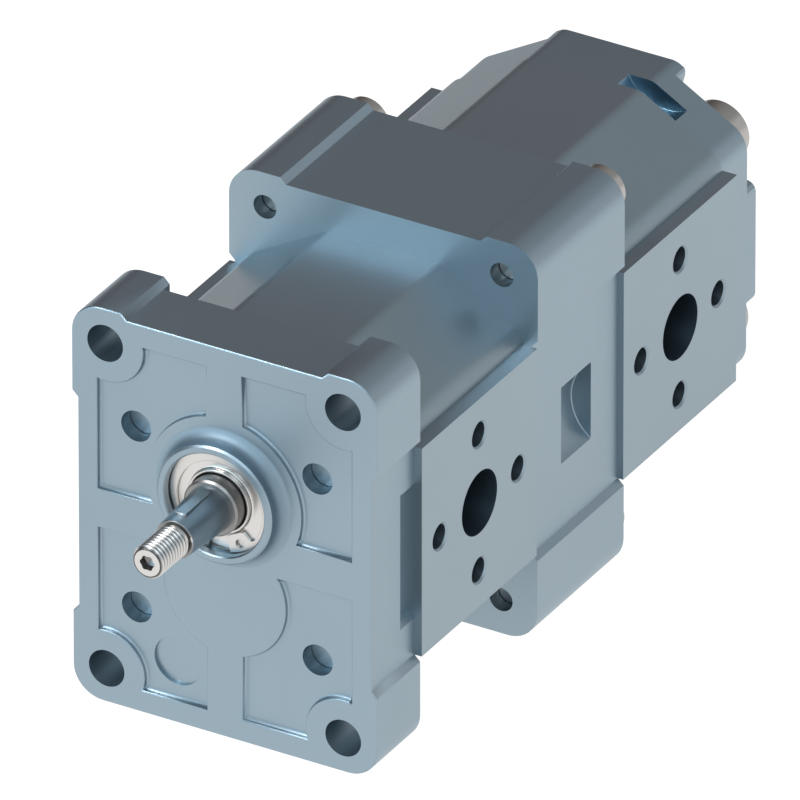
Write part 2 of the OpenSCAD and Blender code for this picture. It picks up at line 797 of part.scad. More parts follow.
// Seal that keeps the oil of the two sections apart, in the rear flange
module partition_seal() {
  y0 = y_rear_flange + seal_front;
  color([0.14, 0.14, 0.15]) union() {
    tube(y0, y0 + seal_len, seal_bore_d / 2, seal_bore_d / 2 - 2);
    tube(y0, y0 + 1.6, seal_bore_d / 2 - 1, journal_d / 2 + run_gap);
  }
}

module pilot_seal() {
  y0 = pilot_seat_y + pilot_seal_in;
  color([0.1, 0.1, 0.1])
    tube(y0 + bush_gap, y0 + pilot_seal_t - bush_gap,
      pilot_d / 2, pilot_d / 2 - pilot_seal_depth + bush_gap);
}

// Locating pins between every housing and its covers
module dowels() {
  color([0.75, 0.75, 0.75])
    for (y = [y_housing, y_middle, y_rear_housing, y_rear_cover], x = [-1, 1])
      rod(y - dowel_half + 0.2, y + dowel_half - 0.2, dowel_d / 2 - 0.01, x * dowel_x, mid_z);
}

// A socket screw whose head rests on y_seat and whose shank runs forward
module socket_screw(y_seat, length, d, head_d, head_h, socket_across) {
  bevel = screw_end_bevel;
  rod(y_seat - length + bevel, y_seat + 0.1, d / 2);
  taper(y_seat - length, y_seat - length + bevel, d / 2 - bevel, d / 2);
  difference() {
    union() {
      rod(y_seat, y_seat + head_h - edge, head_d / 2);
      taper(y_seat + head_h - edge, y_seat + head_h, head_d / 2, head_d / 2 - edge);
    }
    translate([0, y_seat + head_h / 2, 0]) rotate([-90, 0, 0])
      cylinder(h = head_h, r = socket_across / sqrt(3), $fn = 6);
  }
}

// The tie bolts end in the tapped holes of a flange
module tie_bolts(y_seat) {
  for (p = tie_places) translate([p.x, 0, p.y])
    socket_screw(y_seat, tie_l, tie_d, tie_head_d, tie_head_h, 6);
}

module front_tie_bolts() {
  color([0.78, 0.77, 0.75]) tie_bolts(y_front_seat);
}

module rear_tie_bolts() {
  color([0.78, 0.77, 0.75]) tie_bolts(y_back);
}

module flange_screws() {
  color([0.78, 0.77, 0.75]) for (p = mount_places) translate([p.x, 0, p.y])
    socket_screw(y_rear_housing, flange_screw_l, flange_screw_d, flange_head_d, flange_head_h, 5);
}

front_cover();
front_housing();
intermediate_cover();
rear_flange();
rear_housing();
rear_cover();
seal_case();
seal_lip();
seal_spring();
retaining_ring();
drive_shaft();
shaft_key();
front_idler_gear();
coupling();
rear_drive_gear();
rear_idler_gear();
front_cover_bearing();
front_inner_bearing();
rear_inner_bearing();
rear_cover_bearing();
bearing_liners();
balance_seals();
housing_seals();
partition_seal();
pilot_seal();
dowels();
front_tie_bolts();
rear_tie_bolts();
flange_screws();
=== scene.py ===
"""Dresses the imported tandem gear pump: satin castings, turned and ground steel, floor and light.

Sizes in the classes are in millimetres and angles in degrees, and MM turns the first into metres.
"""

from __future__ import annotations

import json
import logging
import math
from collections.abc import Callable, Iterable
from dataclasses import dataclass, field
from enum import Enum

import bmesh
import bpy
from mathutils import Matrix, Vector

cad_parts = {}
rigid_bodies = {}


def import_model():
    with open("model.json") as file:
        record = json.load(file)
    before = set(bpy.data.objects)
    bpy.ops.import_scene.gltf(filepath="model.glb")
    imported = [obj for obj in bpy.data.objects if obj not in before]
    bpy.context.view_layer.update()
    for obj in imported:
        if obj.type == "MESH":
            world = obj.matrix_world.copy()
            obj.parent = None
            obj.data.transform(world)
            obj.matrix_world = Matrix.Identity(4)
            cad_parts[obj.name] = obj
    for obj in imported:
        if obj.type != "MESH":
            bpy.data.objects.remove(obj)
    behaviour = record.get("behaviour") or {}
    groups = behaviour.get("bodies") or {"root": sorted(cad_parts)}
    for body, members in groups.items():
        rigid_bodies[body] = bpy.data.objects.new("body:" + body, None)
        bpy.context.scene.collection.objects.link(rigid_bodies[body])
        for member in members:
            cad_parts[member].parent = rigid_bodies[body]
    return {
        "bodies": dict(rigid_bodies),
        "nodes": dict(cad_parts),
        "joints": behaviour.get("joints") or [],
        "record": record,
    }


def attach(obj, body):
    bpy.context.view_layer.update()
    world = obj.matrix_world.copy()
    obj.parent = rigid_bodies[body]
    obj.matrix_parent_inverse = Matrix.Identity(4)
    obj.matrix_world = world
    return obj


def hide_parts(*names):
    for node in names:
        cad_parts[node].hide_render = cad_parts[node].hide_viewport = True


LOG = logging.getLogger("tandem_pump")
MM = 0.001
STATION_SLACK = 0.02
SMOOTH_TURN = 50.0
Colour = tuple[float, float, float]
EdgeRule = Callable[[bmesh.types.BMEdge], float]
FaceRule = Callable[[bpy.types.MeshPolygon], int]


class Marks(Enum):
    """The fine marks that a process leaves: how far they stretch along X, Y and Z, in grains."""

    CAST = (1.0, 1.0, 1.0)
    TURNED = (14.0, 0.5, 14.0)
    DRAWN = (0.7, 20.0, 0.7)


@dataclass(frozen=True)
class MetalFinish:
    """A metal surface: its colour, how polished it is and the fine marks on it."""

    name: str
    colour: Colour
    roughness: float
    marks: Marks = Marks.CAST
    metallic: float = 1.0
    roughness_spread: float = 0.04
    colour_spread: float = 0.03
    grain_mm: float = 0.5
    grain_detail: float = 3.0
    patch_mm: float = 20.0
    patch_detail: float = 2.0
    bump_mm: float = 0.003

    def material(self) -> bpy.types.Material:
        """Builds the finish as a node material.

        Returns:
            The material, made once for each name.
        """
        made = bpy.data.materials.get(self.name)
        if made is not None:
            return made
        made = bpy.data.materials.new(self.name)
        made.use_nodes = True
        nodes, links = made.node_tree.nodes, made.node_tree.links
        shader = nodes["Principled BSDF"]
        shader.inputs["Metallic"].default_value = self.metallic
        place = nodes.new("ShaderNodeTexCoord")
        stretch = nodes.new("ShaderNodeMapping")
        stretch.inputs["Scale"].default_value = [1 / s for s in self.marks.value]
        links.new(place.outputs["Object"], stretch.inputs["Vector"])
        grain = noise_node(made.node_tree, 1 / (self.grain_mm * MM), self.grain_detail)
        patch = noise_node(made.node_tree, 1 / (self.patch_mm * MM), self.patch_detail)
        links.new(stretch.outputs["Vector"], grain.inputs["Vector"])
        links.new(place.outputs["Object"], patch.inputs["Vector"])
        tint = nodes.new("ShaderNodeMixRGB")
        low, high = 1 - self.colour_spread, 1 + self.colour_spread
        tint.inputs["Color1"].default_value = (*[c * low for c in self.colour], 1)
        tint.inputs["Color2"].default_value = (*[min(1, c * high) for c in self.colour], 1)
        links.new(patch.outputs["Fac"], tint.inputs["Fac"])
        with_painted_shade = self.with_painted_shade(made.node_tree, place.outputs["Object"], tint.outputs["Color"])
        links.new(with_painted_shade, shader.inputs["Base Color"])
        roughen(made.node_tree, grain, self)
        return made

    def with_painted_shade(self, tree: bpy.types.NodeTree, place: bpy.types.NodeSocket,
             colour: bpy.types.NodeSocket) -> bpy.types.NodeSocket:
        """Gives the colour as it is, with no painted shade, for a surface that is alike all over.
        """
        return colour


@dataclass(frozen=True)
class PaintedShadeRootFinish(MetalFinish):
    """A metal with painted shade that darkens it towards an axis, in a boss's root or in a thread's
    grooves.
    """

    root: Colour = (0.225, 0.295, 0.35)
    inner_r: float = 12.7
    outer_r: float = 15.1

    def with_painted_shade(self, tree: bpy.types.NodeTree, place: bpy.types.NodeSocket,
             colour: bpy.types.NodeSocket) -> bpy.types.NodeSocket:
        """Runs the metal's colour into a painted shade towards the root.

        Args:
            tree: The material's node tree.
            place: Where a point lies on the pump, in metres.
            colour: The metal's colour.

        Returns:
            The colour with the painted shade in its root.
        """
        flat = tree.nodes.new("ShaderNodeVectorMath")
        flat.operation = "MULTIPLY"
        flat.inputs[1].default_value = (1, 0, 1)
        tree.links.new(place, flat.inputs[0])
        radius = tree.nodes.new("ShaderNodeVectorMath")
        radius.operation = "LENGTH"
        tree.links.new(flat.outputs["Vector"], radius.inputs[0])
        share = tree.nodes.new("ShaderNodeMapRange")
        share.interpolation_type = "SMOOTHSTEP"
        share.inputs["From Min"].default_value = self.outer_r * MM
        share.inputs["From Max"].default_value = self.inner_r * MM
        tree.links.new(radius.outputs["Value"], share.inputs["Value"])
        # The root colour is painted shade, which grows towards the axis.
        mix = tree.nodes.new("ShaderNodeMixRGB")
        mix.inputs["Color2"].default_value = (*self.root, 1)
        tree.links.new(share.outputs["Result"], mix.inputs["Fac"])
        tree.links.new(colour, mix.inputs["Color1"])
        return mix.outputs["Color"]


@dataclass(frozen=True)
class RubberFinish:
    """Moulded black rubber."""

    name: str
    colour: Colour
    roughness: float = 0.55
    roughness_spread: float = 0.08
    grain_mm: float = 1.1
    grain_detail: float = 4.0
    bump_mm: float = 0.01

    def material(self) -> bpy.types.Material:
        """Builds the finish as a node material.

        Returns:
            The material, made once for each name.
        """
        made = bpy.data.materials.get(self.name)
        if made is not None:
            return made
        made = bpy.data.materials.new(self.name)
        made.use_nodes = True
        nodes, links = made.node_tree.nodes, made.node_tree.links
        shader = nodes["Principled BSDF"]
        shader.inputs["Base Color"].default_value = (*self.colour, 1)
        place = nodes.new("ShaderNodeTexCoord")
        grain = noise_node(made.node_tree, 1 / (self.grain_mm * MM), self.grain_detail)
        links.new(place.outputs["Object"], grain.inputs["Vector"])
        roughen(made.node_tree, grain, self)
        return made


def noise_node(tree: bpy.types.NodeTree, scale: float, detail: float) -> bpy.types.Node:
    """Adds a noise texture to a material.

    Args:
        tree: The material's node tree.
        scale: Features in each metre.
        detail: How many finer layers the noise has.

    Returns:
        The noise node.
    """
    node = tree.nodes.new("ShaderNodeTexNoise")
    node.inputs["Scale"].default_value = scale
    node.inputs["Detail"].default_value = detail
    return node


def roughen(tree: bpy.types.NodeTree, grain: bpy.types.Node, finish: Finish) -> None:
    """Spreads a finish's roughness and its fine bumps over the grain.

    Args:
        tree: The material's node tree.
        grain: The noise that both follow.
        finish: The finish.
    """
    shader = tree.nodes["Principled BSDF"]
    spread = tree.nodes.new("ShaderNodeMapRange")
    spread.inputs["To Min"].default_value = finish.roughness - finish.roughness_spread
    spread.inputs["To Max"].default_value = finish.roughness + finish.roughness_spread
    tree.links.new(grain.outputs["Fac"], spread.inputs["Value"])
    tree.links.new(spread.outputs["Result"], shader.inputs["Roughness"])
    bump = tree.nodes.new("ShaderNodeBump")
    bump.inputs["Distance"].default_value = finish.bump_mm * MM
    tree.links.new(grain.outputs["Fac"], bump.inputs["Height"])
    tree.links.new(bump.outputs["Normal"], shader.inputs["Normal"])


Finish = MetalFinish | RubberFinish
CAST_COVER = MetalFinish("satin_cover_casting", (0.311, 0.388, 0.438), 0.42)
CAST_HOUSING = MetalFinish("satin_housing_extrusion", (0.315, 0.383, 0.423), 0.42)
# Painted shade: the pilot's root fillet darkens towards the pilot, on a rougher cast face.
PILOT_ROOT_SHADE = PaintedShadeRootFinish("dark_pilot_root", (0.311, 0.388, 0.438), 0.55)
NOTCH_CUT = MetalFinish("blue_notch_cut", (0.25, 0.38, 0.47), 0.30)
# Painted shade: the port bores are much darker than the housing around them.
PORT_BORE_SHADE = MetalFinish("painted_shade_port_bore", (0.12, 0.17, 0.21), 0.50, Marks.TURNED)
BRIGHT_STEEL = MetalFinish("bright_turned_steel", (0.67, 0.645, 0.62), 0.26, Marks.TURNED)
RING_STEEL = MetalFinish("stamped_ring_steel", (0.66, 0.635, 0.61), 0.30)
# Painted shade: the thread darkens from its crests into its grooves.
THREAD_STEEL_GROOVE_SHADE = PaintedShadeRootFinish("cut_thread_steel_groove_shade", (0.66, 0.635, 0.61), 0.28, Marks.TURNED,
                          root=(0.10, 0.096, 0.092), inner_r=2.98, outer_r=3.42)
# Painted shade: ground steel darkened where it sits in the seal's collar, in the centre hole and
# inside the cover.
JOURNAL_STEEL_SHADE = MetalFinish("ground_journal_steel_painted_shade", (0.29, 0.28, 0.27), 0.38, Marks.TURNED)
BOLT_STEEL = MetalFinish("plain_bolt_steel", (0.46, 0.44, 0.415), 0.30, Marks.DRAWN)
# Painted shade with a painted blue reflection: the front tie bolts' ends lie deep in their holes.
BOLT_END_SHADE = MetalFinish("painted_shade_bolt_end", (0.30, 0.38, 0.43), 0.45)
TAPER_STEEL = MetalFinish("slate_ground_steel", (0.33, 0.37, 0.40), 0.32, Marks.TURNED)
BEARING_ALLOY = MetalFinish("machined_bearing_alloy", (0.70, 0.69, 0.65), 0.35, Marks.TURNED)
LINER_BRONZE = MetalFinish("bronze_liner", (0.55, 0.38, 0.20), 0.35, Marks.TURNED)
BLACK_RUBBER = RubberFinish("black_moulded_rubber", (0.015, 0.015, 0.016))


def link_mesh(mesh: bmesh.types.BMesh, name: str) -> bpy.types.Object:
    """Turns a finished bmesh into an object in the scene.

    Args:
        mesh: The mesh, which is freed.
        name: Name of the object and its data.

    Returns:
        The new object.
    """
    data = bpy.data.meshes.new(name)
    mesh.to_mesh(data)
    mesh.free()
    piece = bpy.data.objects.new(name, data)
    bpy.context.collection.objects.link(piece)
    return piece


def even_shading(piece: bpy.types.Object, weight: int = 80) -> None:
    """Adds normals weighted by face area, so that flats stay flat beside a small fillet.

    Args:
        piece: The object to shade.
        weight: How much a large face counts before a small one.
    """
    even = piece.modifiers.new("even_shading", "WEIGHTED_NORMAL")
    even.mode = "FACE_AREA"
    even.weight = weight
    even.keep_sharp = True


def fillet(piece: bpy.types.Object, rule: EdgeRule, segments: int = 3,
           sharp_turn: float = 24.0) -> None:
    """Rounds the edges that a rule picks and keeps the other corners crisp.

    Args:
        piece: The object to round.
        rule: Gives the fillet's width for an edge in millimetres, or 0 for a crisp edge.
        segments: Steps across the fillet.
        sharp_turn: Degrees from which an edge without a fillet is a crisp one.
    """
    mesh = bmesh.new()
    mesh.from_mesh(piece.data)
    layer = mesh.edges.layers.float.new("bevel_weight_edge")
    widths = {}
    for edge in mesh.edges:
        turn = math.degrees(edge.calc_face_angle(0)) if len(edge.link_faces) == 2 else 0
        width = rule(edge) if turn > sharp_turn else 0
        if width:
            widths[edge] = width
        edge.smooth = bool(width) or turn < sharp_turn
    widest = max(widths.values(), default=0)
    for edge, width in widths.items():
        edge[layer] = width / widest
    for face in mesh.faces:
        face.smooth = True
    mesh.to_mesh(piece.data)
    mesh.free()
    if widest:
        bevel = piece.modifiers.new("fillet", "BEVEL")
        bevel.width = widest * MM
        bevel.segments = segments
        bevel.limit_method = "WEIGHT"
        bevel.use_clamp_overlap = False
        bevel.miter_outer = "MITER_ARC"
    even_shading(piece)


def crisp(edge: bmesh.types.BMEdge) -> float:
    """Leaves every edge crisp."""
    return 0.0


def at_station(edge: bmesh.types.BMEdge, y_mm: float) -> bool:
    """Tells whether both ends of an edge lie at one station along the pump."""
    return all(abs(vert.co.y / MM - y_mm) < STATION_SLACK for vert in edge.verts)


def middle_mm(edge: bmesh.types.BMEdge) -> Vector:
    """Gives the middle of an edge in millimetres."""
    return (edge.verts[0].co + edge.verts[1].co) / 2 / MM


def off_axis(place: Vector) -> float:
    """Gives the distance of a place from the drive axis."""
    return math.hypot(place.x, place.z)


def softened(corners: Iterable[tuple[float, float, float]], steps: int = 5) -> list[Vector]:
    """Rounds the corners of a closed section.

    Args:
        corners: Radius from the axis, place along it and fillet radius, in millimetres.
        steps: Points on each fillet.

    Returns:
        The section's points, in millimetres.
    """
    given = [(Vector((r, y)), size) for r, y, size in corners]
    points = []
    for i, (corner, size) in enumerate(given):
        before = (given[i - 1][0] - corner).normalized()
        after = (given[(i + 1) % len(given)][0] - corner).normalized()
        if not size:
            points.append(corner)
            continue
        start, end = corner + before * size, corner + after * size
        for step in range(steps + 1):
            t = step / steps
            points.append(start * (1 - t) ** 2 + corner * 2 * t * (1 - t) + end * t ** 2)
    return points


def around(radius: float, y: float, share: float) -> Vector:
    """Places a point round the drive axis.

    Args:
        radius: Distance from the axis, in millimetres.
        y: Place along the axis, in millimetres.
        share: The share of a turn round it.

    Returns:
        The point, in metres.
    """
    turn = 2 * math.pi * share
    return Vector((radius * math.cos(turn), y, radius * math.sin(turn))) * MM


def join_rows(mesh: bmesh.types.BMesh, rows: list[list[bmesh.types.BMVert]]) -> None:
    """Joins rows of points into a closed surface, each row to the next and the last to the first.

    Args:
        mesh: The mesh that holds the points.
        rows: The rows, alike in length, each closed in itself.
    """
    for here, there in zip(rows, rows[1:] + rows[:1]):
        for i in range(len(here)):
            n = (i + 1) % len(here)
            mesh.faces.new((here[i], here[n], there[n], there[i]))
    bmesh.ops.recalc_face_normals(mesh, faces=mesh.faces)


def turned(name: str, section: list[Vector], segments: int = 128) -> bpy.types.Object:
    """Turns a closed section about the drive axis.

    Args:
        name: Name of the piece.
        section: Radius and place along the axis of each point, in millimetres.
        segments: Steps round the axis.

    Returns:
        The turned piece.
    """
    mesh = bmesh.new()
    join_rows(mesh, [[mesh.verts.new(around(point.x, point.y, i / segments)) for point in section]
                     for i in range(segments)])
    return link_mesh(mesh, name)


@dataclass
class PackedPump:
    """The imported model, and what every sub-assembly does with its nodes."""

    frame: dict
    merge_mm: float = 0.002
    flat_turn: float = 0.4

    def body_of(self, node: str) -> str:
        """Names the body that a node rides on."""
        bodies = self.frame["record"]["behaviour"]["bodies"]
        return next(body for body, nodes in bodies.items() if node in nodes)

    def dress(self, finish: Finish, *nodes: str) -> None:
        """Gives nodes whose shape is right their finish.

        Args:
            finish: The finish.
            nodes: The nodes' names.
        """
        for node in nodes:
            for place in self.frame["nodes"][node].material_slots:
                place.material = finish.material()
            LOG.info("dressed %s with %s", node, finish.name)

    def copy_of(self, node: str) -> bpy.types.Object:
        """Copies a node's solid into a new mesh with whole flat faces.

        Args:
            node: The node's name.

        Returns:
            The new piece, without a finish.
        """
        mesh = bmesh.new()
        mesh.from_mesh(self.frame["nodes"][node].data)
        bmesh.ops.remove_doubles(mesh, verts=mesh.verts, dist=self.merge_mm * MM)
        bmesh.ops.dissolve_limit(
            mesh, angle_limit=math.radians(self.flat_turn), verts=mesh.verts, edges=mesh.edges,
            delimit={"NORMAL"})
        piece = link_mesh(mesh, f"dressed_{node}")
        piece.data.materials.clear()
        return piece

    def stand_in(self, piece: bpy.types.Object, node: str, finishes: list[Finish],
                 rule: FaceRule | None = None) -> None:
        """Puts a piece in a node's place, on its body and in its finish.

        Args:
            piece: The new piece.
            node: The node that it stands for.
            finishes: The piece's finishes, the main one first.
            rule: Picks the finish of a face by its number in the list.
        """
        for finish in finishes:
            piece.data.materials.append(finish.material())
        if rule:
            for face in piece.data.polygons:
                face.material_index = rule(face)
        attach(piece, self.body_of(node))
        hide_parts(node)
        LOG.info("built %s in place of %s", piece.name, node)


@dataclass
class FrontCover:
    """The mounting flange with its pilot, shallow pockets and holes."""

    rim: float = 0.4
    foot: float = 0.5
    floors: tuple[float, ...] = (1.0, 1.3)
    rim_x: float = 28.6
    rim_top: float = 28.2
    rim_low: float = -49.0
    brow: float = 0.3
    hole_places: tuple[tuple[float, float], ...] = (
        (-26.2, 26.2), (26.2, 26.2), (-26.2, -45.7), (26.2, -45.7),
        (-20.0, 7.75), (20.0, 7.75), (-20.0, -32.25), (20.0, -32.25))
    hole_clear: float = 4.6
    recess_place: tuple[float, float] = (-10.9, -40.0)
    recess_r: float = 5.25
    recess_y: float = 1.3
    recess_ends: tuple[float, float] = (1.7, 1.02)
    recess_slack: float = 0.05
    pilot_r: float = 12.7
    pilot_slack: float = 0.1
    pilot_clear: float = 18.0
    root_r: float = 2.4
    root_ends: tuple[float, float] = (-3.58, 1.2)
    root_turn: float = -0.999

    def edge_width(self, edge: bmesh.types.BMEdge) -> float:
        """Rounds the outer rim of the face and both edges of each pocket wall.

        Args:
            edge: An edge of the cover.

        Returns:
            The fillet's width in millimetres.
        """
        if any(at_station(edge, floor) for floor in self.floors):
            return 0.0 if edge.is_convex else self.foot
        place = middle_mm(edge)
        at_hole = any(math.hypot(place.x - x, place.z - z) < self.hole_clear
                      for x, z in self.hole_places)
        at_pilot = off_axis(place) < self.pilot_clear
        if at_hole or at_pilot or not at_station(edge, 0):
            return 0.0
        outside = abs(place.x) > self.rim_x or place.z > self.rim_top or place.z < self.rim_low
        return self.rim if outside else self.brow

    def slope_recess(self, cover: bpy.types.Object) -> None:
        """Slopes the round recess's floor, so that it runs out at its upper right.

        Args:
            cover: The cover's mesh.
        """
        deep, shallow = self.recess_ends
        for vert in cover.data.vertices:
            place = vert.co / MM
            across = Vector((place.x - self.recess_place[0], place.z - self.recess_place[1]))
            on_floor = abs(place.y - self.recess_y) < STATION_SLACK
            if on_floor and across.length < self.recess_r + self.recess_slack:
                share = (across.x + across.y) / (self.recess_r * math.sqrt(2))
                vert.co.y = (deep * (1 - share) + shallow * (1 + share)) / 2 * MM

    def face_finish(self, face: bpy.types.MeshPolygon) -> int:
        """Picks the finish with painted shade on the pilot's side and the rounding at its foot.

        Args:
            face: A face of the cover.

        Returns:
            1, the painted shade, on the pilot's side and its root, or else 0.
        """
        place = face.center / MM
        beside = self.pilot_r - self.pilot_slack < off_axis(place) < self.pilot_r + self.root_r
        front, back = self.root_ends
        return int(beside and front < place.y < back and face.normal.y > self.root_turn)

    def build(self, pump: PackedPump) -> None:
        """Builds the dressed cover.

        Args:
            pump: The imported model.
        """
        cover = pump.copy_of("front_cover")
        self.slope_recess(cover)
        fillet(cover, self.edge_width)
        pump.stand_in(cover, "front_cover", [CAST_COVER, PILOT_ROOT_SHADE], self.face_finish)


@dataclass
class MiddleFlanges:
    """The intermediate cover and the rear section's flange, joined without a visible seam."""

    joint_y: float = 77.5
    scoop_half: float = 5.75
    scoop_x: float = 28.0
    scoop_foot: float = 0.3

    def edge_width(self, edge: bmesh.types.BMEdge) -> float:
        """Rounds the foot of the scoops in the sides.

        Args:
            edge: An edge of a flange.

        Returns:
            The fillet's width in millimetres.
        """
        ends = (self.joint_y - self.scoop_half, self.joint_y + self.scoop_half)
        in_scoop = abs(middle_mm(edge).x) > self.scoop_x and any(at_station(edge, y) for y in ends)
        return self.scoop_foot if in_scoop and not edge.is_convex else 0.0

    def build(self, pump: PackedPump) -> None:
        """Builds the two dressed flanges.

        Args:
            pump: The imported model.
        """
        for node in ("intermediate_cover", "rear_flange"):
            flange = pump.copy_of(node)
            fillet(flange, self.edge_width)
            pump.stand_in(flange, node, [CAST_COVER])


@dataclass
class GearHousings:
    """The two gear housings with their port faces."""

    port_z: float = -10.75
    port_middle: dict[str, float] = field(
        default_factory=lambda: {"front_housing": 38.425, "rear_housing": 115.925})
    port_r: float = 6.85
    port_in_x: float = 14.0
    port_face_x: float = 34.0

    def is_port_bore(self, face: bpy.types.MeshPolygon, middle_y: float) -> bool:
        """Tells whether a face lies inside one of a housing's ports.

        Args:
            face: A face of the housing.
            middle_y: Station of the ports' axis.

        Returns:
            True inside a port.
        """
        place = face.center / MM
        near = math.hypot(place.y - middle_y, place.z - self.port_z) < self.port_r
        return near and self.port_in_x < abs(place.x) < self.port_face_x

    def build(self, pump: PackedPump) -> None:
        """Builds the two dressed housings.

        Args:
            pump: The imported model.
        """
        for node, middle_y in self.port_middle.items():
            housing = pump.copy_of(node)
            fillet(housing, crisp)
            # The ports' bores take the painted shade.
            pump.stand_in(housing, node, [CAST_HOUSING, PORT_BORE_SHADE],
                          lambda face, y=middle_y: int(self.is_port_bore(face, y)))


@dataclass
class RearCover:
    """The cover that closes the rear section, with the cross that stiffens it."""

    notch_end_y: float = 142.8
    notch_foot: float = 0.12
    notch_place: tuple[float, float] = (15.8, 28.5)
    notch_r: float = 9.5
    notch_slack: float = 0.15
    wall_facing: float = 0.9
    end_facing: float = 0.5

    def edge_width(self, edge: bmesh.types.BMEdge) -> float:
        """Rounds the foot of the notch.

        Args:
            edge: An edge of the cover.

        Returns:
            The fillet's width in millimetres.
        """
        return self.notch_foot if at_station(edge, self.notch_end_y) and not edge.is_convex else 0.0

    def face_finish(self, face: bpy.types.MeshPolygon) -> int:
        """Picks the notch's finish on its round wall and its end.

        Args:
            face: A face of the cover.

        Returns:
            1 in the notch, or else 0.
        """
        place = face.center / MM
        inward = Vector((self.notch_place[0] - place.x, 0, self.notch_place[1] - place.z))
        away = inward.length
        in_reach = place.y < self.notch_end_y + self.notch_slack
        on_wall = (abs(away - self.notch_r) < self.notch_slack
                   and face.normal.dot(inward) > self.wall_facing * away)
        on_end = (away < self.notch_r + self.notch_slack
                  and place.y > self.notch_end_y - self.notch_slack
                  and face.normal.y < -self.end_facing)
        return int(in_reach and (on_wall or on_end))

    def build(self, pump: PackedPump) -> None:
        """Builds the dressed cover.

        Args:
            pump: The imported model.
        """
        cover = pump.copy_of("rear_cover")
        fillet(cover, self.edge_width)
        pump.stand_in(cover, "rear_cover", [CAST_COVER, NOTCH_CUT], self.face_finish)


@dataclass
class ShaftSeal:
    """The pressed seal with its rolled collar, and the ring that holds it."""

    bore_r: float = 11.0
    wall: float = 1.0
    front_y: float = -1.2
    back_y: float = 5.2
    collar_out_r: float = 6.8
    collar_in_r: float = 6.25
    collar_y: float = -2.3
    edge_r: float = 0.22
    foot_r: float = 0.45
    ring_packed_y: float = -2.3
    ring_front_y: float = -1.9
    ring_edge: float = 0.12

    def case(self) -> bpy.types.Object:
        """Turns the pressed case with its rolled collar.

        Returns:
            The case.
        """
        inner = self.bore_r - self.wall
        inside_y = self.front_y + self.wall
        return turned("pressed_seal_case", softened([
            (self.collar_out_r, self.collar_y, self.edge_r),
            (self.collar_out_r, self.front_y, self.foot_r),
            (self.bore_r, self.front_y, self.foot_r),
            (self.bore_r, self.back_y, 0),
            (inner, self.back_y, 0),
            (inner, inside_y, self.edge_r),
            (self.collar_in_r, inside_y, 0),
            (self.collar_in_r, self.collar_y, self.edge_r),
        ]))

    def ring_edge_width(self, edge: bmesh.types.BMEdge) -> float:
        """Rounds the stamped edge on the ring's front face."""
        return self.ring_edge if at_station(edge, self.ring_front_y) else 0.0

    def build(self, pump: PackedPump) -> None:
        """Builds the case and the ring, and dresses the lip and its spring.

        Args:
            pump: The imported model.
        """
        case = self.case()
        fillet(case, crisp, sharp_turn=SMOOTH_TURN)
        pump.stand_in(case, "seal_case", [BRIGHT_STEEL])
        ring = pump.copy_of("retaining_ring")
        for vert in ring.data.vertices:
            if abs(vert.co.y / MM - self.ring_packed_y) < STATION_SLACK:
                vert.co.y = self.ring_front_y * MM
        fillet(ring, self.ring_edge_width, segments=2)
        pump.stand_in(ring, "retaining_ring", [RING_STEEL])
        pump.dress(BLACK_RUBBER, "seal_lip")
        pump.dress(BRIGHT_STEEL, "seal_spring")


